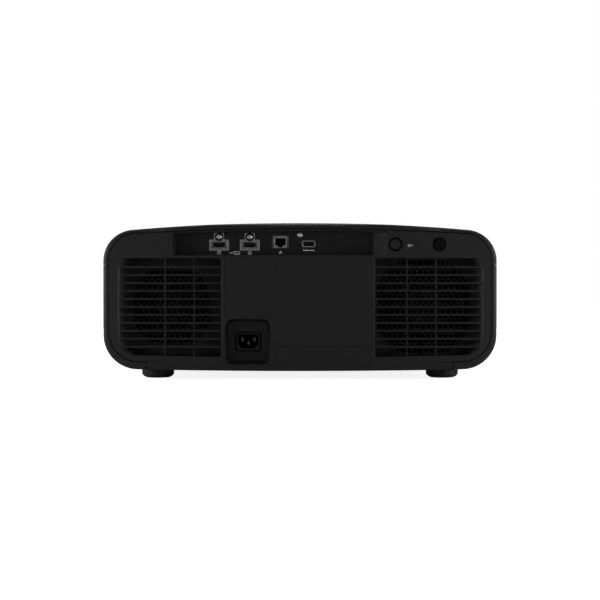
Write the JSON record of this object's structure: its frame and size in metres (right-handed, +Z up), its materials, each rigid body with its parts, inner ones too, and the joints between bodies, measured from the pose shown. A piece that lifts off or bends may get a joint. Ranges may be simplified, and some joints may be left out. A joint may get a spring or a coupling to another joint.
{
  "type": "home projector",
  "caption": "Compact home-theatre projector with motorised lens, rear connector panel, cooling fans and screw-adjustable feet.",
  "frame": {"origin": "centre of the bounding box, on the surface the projector stands on", "axes": "+Z up, the lens looks along -Y, the connector panel faces +Y, +X is to the left of someone who faces the connector panel"},
  "size_m": [0.4532, 0.479, 0.181],
  "materials": {
    "case_plastic": "fine-grained matt black moulding",
    "panel_plastic": "fine-grained matt black moulding",
    "trim_black": "satin black ring",
    "terminal_sheet": "textured black paint",
    "dark_sheet": "dark grey coated sheet",
    "connector_metal": "nickel-plated shell",
    "screw_steel": "zinc-plated",
    "black_steel": "black oxide",
    "brass_pin": "bright contact",
    "inlet_plastic": "black insulating moulding",
    "window_plastic": "dark infrared filter",
    "fan_plastic": "black glass-filled plastic",
    "board_green": "solder mask on glass-epoxy",
    "board_tan": "paper-phenolic board and parts",
    "lens_metal": "black anodised",
    "raw_metal": "bare die-cast and extruded metal",
    "bright_rod": "ground and plated rod",
    "ring_plastic": "black acetal",
    "pinion_brass": "machined",
    "coated_glass": "coated optical glass",
    "motor_steel": "plated can",
    "spring_steel": "bright spring wire",
    "foot_plastic": "black moulding",
    "foot_rubber": "black rubber"
  },
  "bodies": {
    "chassis": {"top_cover": "case_plastic", "lower_case": "case_plastic", "case_screws": "black_steel", "rear_panel": "panel_plastic", "front_panel": "panel_plastic", "lens_ring": "trim_black", "exhaust_grilles": "panel_plastic", "ir_windows": "window_plastic", "terminal_plate": "terminal_sheet", "terminal_screws": "screw_steel", "av_ports": "connector_metal", "lan_port": "connector_metal", "usb_port": "connector_metal", "ac_inlet": "inlet_plastic", "ac_inlet_pins": "brass_pin", "power_button_spring": "spring_steel", "button_board": "board_green", "intake_bulkhead": "dark_sheet", "fan_guards": "dark_sheet", "large_fan_frame": "fan_plastic", "small_fan_frame": "fan_plastic", "exhaust_fan_frames": "fan_plastic", "lens_frame": "lens_metal", "h_rods": "bright_rod", "h_shift_motor": "motor_steel", "optical_block": "raw_metal", "prism_assembly": "coated_glass", "laser_module": "raw_metal", "heat_sink": "raw_metal", "main_board": "board_green", "power_supply": "board_tan", "power_supply_cage": "dark_sheet"},
    "power_button": {"power_button": "panel_plastic"},
    "large_fan_rotor": {"large_fan_rotor": "fan_plastic"},
    "small_fan_rotor": {"small_fan_rotor": "fan_plastic"},
    "exhaust_fan_rotor_left": {"exhaust_fan_rotor_left": "fan_plastic"},
    "exhaust_fan_rotor_right": {"exhaust_fan_rotor_right": "fan_plastic"},
    "shift_carriage": {"shift_carriage": "lens_metal", "v_rods": "bright_rod", "v_shift_motor": "motor_steel"},
    "lens": {"lens_flange": "lens_metal", "lens_barrel": "lens_metal", "rear_lenses": "coated_glass", "lens_motors": "motor_steel"},
    "zoom_ring": {"zoom_ring": "ring_plastic"},
    "focus_ring": {"focus_ring": "ring_plastic"},
    "zoom_pinion": {"zoom_pinion": "pinion_brass"},
    "focus_pinion": {"focus_pinion": "pinion_brass"},
    "front_lens_group": {"front_lens_cell": "lens_metal", "front_lens": "coated_glass"},
    "h_shift_screw": {"h_shift_screw": "screw_steel"},
    "v_shift_screw": {"v_shift_screw": "screw_steel"},
    "foot_pad_front_left": {"foot_pad_front_left": "foot_rubber"},
    "foot_front_left": {"foot_front_left": "foot_plastic"},
    "foot_pad_front_right": {"foot_pad_front_right": "foot_rubber"},
    "foot_front_right": {"foot_front_right": "foot_plastic"},
    "foot_pad_rear_left": {"foot_pad_rear_left": "foot_rubber"},
    "foot_rear_left": {"foot_rear_left": "foot_plastic"},
    "foot_pad_rear_right": {"foot_pad_rear_right": "foot_rubber"},
    "foot_rear_right": {"foot_rear_right": "foot_plastic"}
  },
  "joints": [
    {"name": "power_button_press", "type": "slide", "parent": "chassis", "child": "power_button", "axis": [0, -1, 0], "range_m": [0, 0.001], "stiffness_N_per_m": 600, "springref_m": -0.0015, "deforming": ["power_button_spring"]},
    {"name": "large_fan_spin", "type": "hinge", "parent": "chassis", "child": "large_fan_rotor", "pos_m": [-0.1448, 0.19, 0.0841], "axis": [0, 1, 0], "continuous": true},
    {"name": "small_fan_spin", "type": "hinge", "parent": "chassis", "child": "small_fan_rotor", "pos_m": [0.1506, 0.19, 0.0841], "axis": [0, 1, 0], "continuous": true},
    {"name": "exhaust_fan_left_spin", "type": "hinge", "parent": "chassis", "child": "exhaust_fan_rotor_left", "pos_m": [-0.165, -0.195, 0.088], "axis": [0, 1, 0], "continuous": true},
    {"name": "exhaust_fan_right_spin", "type": "hinge", "parent": "chassis", "child": "exhaust_fan_rotor_right", "pos_m": [0.165, -0.195, 0.088], "axis": [0, 1, 0], "continuous": true},
    {"name": "lens_shift_sideways", "type": "slide", "parent": "chassis", "child": "shift_carriage", "axis": [1, 0, 0], "range_m": [-0.006, 0.006]},
    {"name": "lens_shift_up", "type": "slide", "parent": "shift_carriage", "child": "lens", "axis": [0, 0, 1], "range_m": [-0.01, 0.01]},
    {"name": "side_screw_turn", "type": "hinge", "parent": "chassis", "child": "h_shift_screw", "pos_m": [0, -0.106, 0.024], "axis": [1, 0, 0], "range_deg": [-1441, 1441]},
    {"name": "lift_screw_turn", "type": "hinge", "parent": "shift_carriage", "child": "v_shift_screw", "pos_m": [0.07, -0.124, 0.096], "axis": [0, 0, 1], "range_deg": [-2401, 2401]},
    {"name": "zoom_ring_turn", "type": "hinge", "parent": "lens", "child": "zoom_ring", "pos_m": [0, -0.182, 0.096], "axis": [0, 1, 0], "range_deg": [-45, 45]},
    {"name": "focus_ring_turn", "type": "hinge", "parent": "lens", "child": "focus_ring", "pos_m": [0, -0.202, 0.096], "axis": [0, 1, 0], "range_deg": [-60, 60]},
    {"name": "zoom_pinion_turn", "type": "hinge", "parent": "lens", "child": "zoom_pinion", "pos_m": [0.04366, -0.185, 0.13264], "axis": [0, 1, 0], "range_deg": [-322, 322]},
    {"name": "focus_pinion_turn", "type": "hinge", "parent": "lens", "child": "focus_pinion", "pos_m": [-0.04366, -0.205, 0.13264], "axis": [0, 1, 0], "range_deg": [-429, 429]},
    {"name": "front_lens_travel", "type": "slide", "parent": "lens", "child": "front_lens_group", "axis": [0, 1, 0], "range_m": [-0.0025, 0.0025]},
    {"name": "foot_front_left_height", "type": "slide", "parent": "chassis", "child": "foot_pad_front_left", "axis": [0, 0, -1], "range_m": [0, 0.005]},
    {"name": "foot_front_left_turn", "type": "hinge", "parent": "foot_pad_front_left", "child": "foot_front_left", "pos_m": [-0.169, -0.165, 0.01], "axis": [0, 0, -1], "range_deg": [0, 1440]},
    {"name": "foot_front_right_height", "type": "slide", "parent": "chassis", "child": "foot_pad_front_right", "axis": [0, 0, -1], "range_m": [0, 0.005]},
    {"name": "foot_front_right_turn", "type": "hinge", "parent": "foot_pad_front_right", "child": "foot_front_right", "pos_m": [0.169, -0.165, 0.01], "axis": [0, 0, -1], "range_deg": [0, 1440]},
    {"name": "foot_rear_left_height", "type": "slide", "parent": "chassis", "child": "foot_pad_rear_left", "axis": [0, 0, -1], "range_m": [0, 0.005]},
    {"name": "foot_rear_left_turn", "type": "hinge", "parent": "foot_pad_rear_left", "child": "foot_rear_left", "pos_m": [-0.169, 0.1845, 0.01], "axis": [0, 0, -1], "range_deg": [0, 1440]},
    {"name": "foot_rear_right_height", "type": "slide", "parent": "chassis", "child": "foot_pad_rear_right", "axis": [0, 0, -1], "range_m": [0, 0.005]},
    {"name": "foot_rear_right_turn", "type": "hinge", "parent": "foot_pad_rear_right", "child": "foot_rear_right", "pos_m": [0.169, 0.1845, 0.01], "axis": [0, 0, -1], "range_deg": [0, 1440]}
  ],
  "couplings": [
    {"joint": "side_screw_turn", "follows": "lens_shift_sideways", "rad_per_m": 4188.8},
    {"joint": "lift_screw_turn", "follows": "lens_shift_up", "rad_per_m": 4188.8},
    {"joint": "zoom_pinion_turn", "follows": "zoom_ring_turn", "ratio": -7.1429},
    {"joint": "focus_pinion_turn", "follows": "focus_ring_turn", "ratio": -7.1429},
    {"joint": "front_lens_travel", "follows": "focus_ring_turn", "m_per_rad": 0.002387},
    {"joint": "foot_front_left_height", "follows": "foot_front_left_turn", "m_per_rad": 0.00019894},
    {"joint": "foot_front_right_height", "follows": "foot_front_right_turn", "m_per_rad": 0.00019894},
    {"joint": "foot_rear_left_height", "follows": "foot_rear_left_turn", "m_per_rad": 0.00019894},
    {"joint": "foot_rear_right_height", "follows": "foot_rear_right_turn", "m_per_rad": 0.00019894}
  ]
}
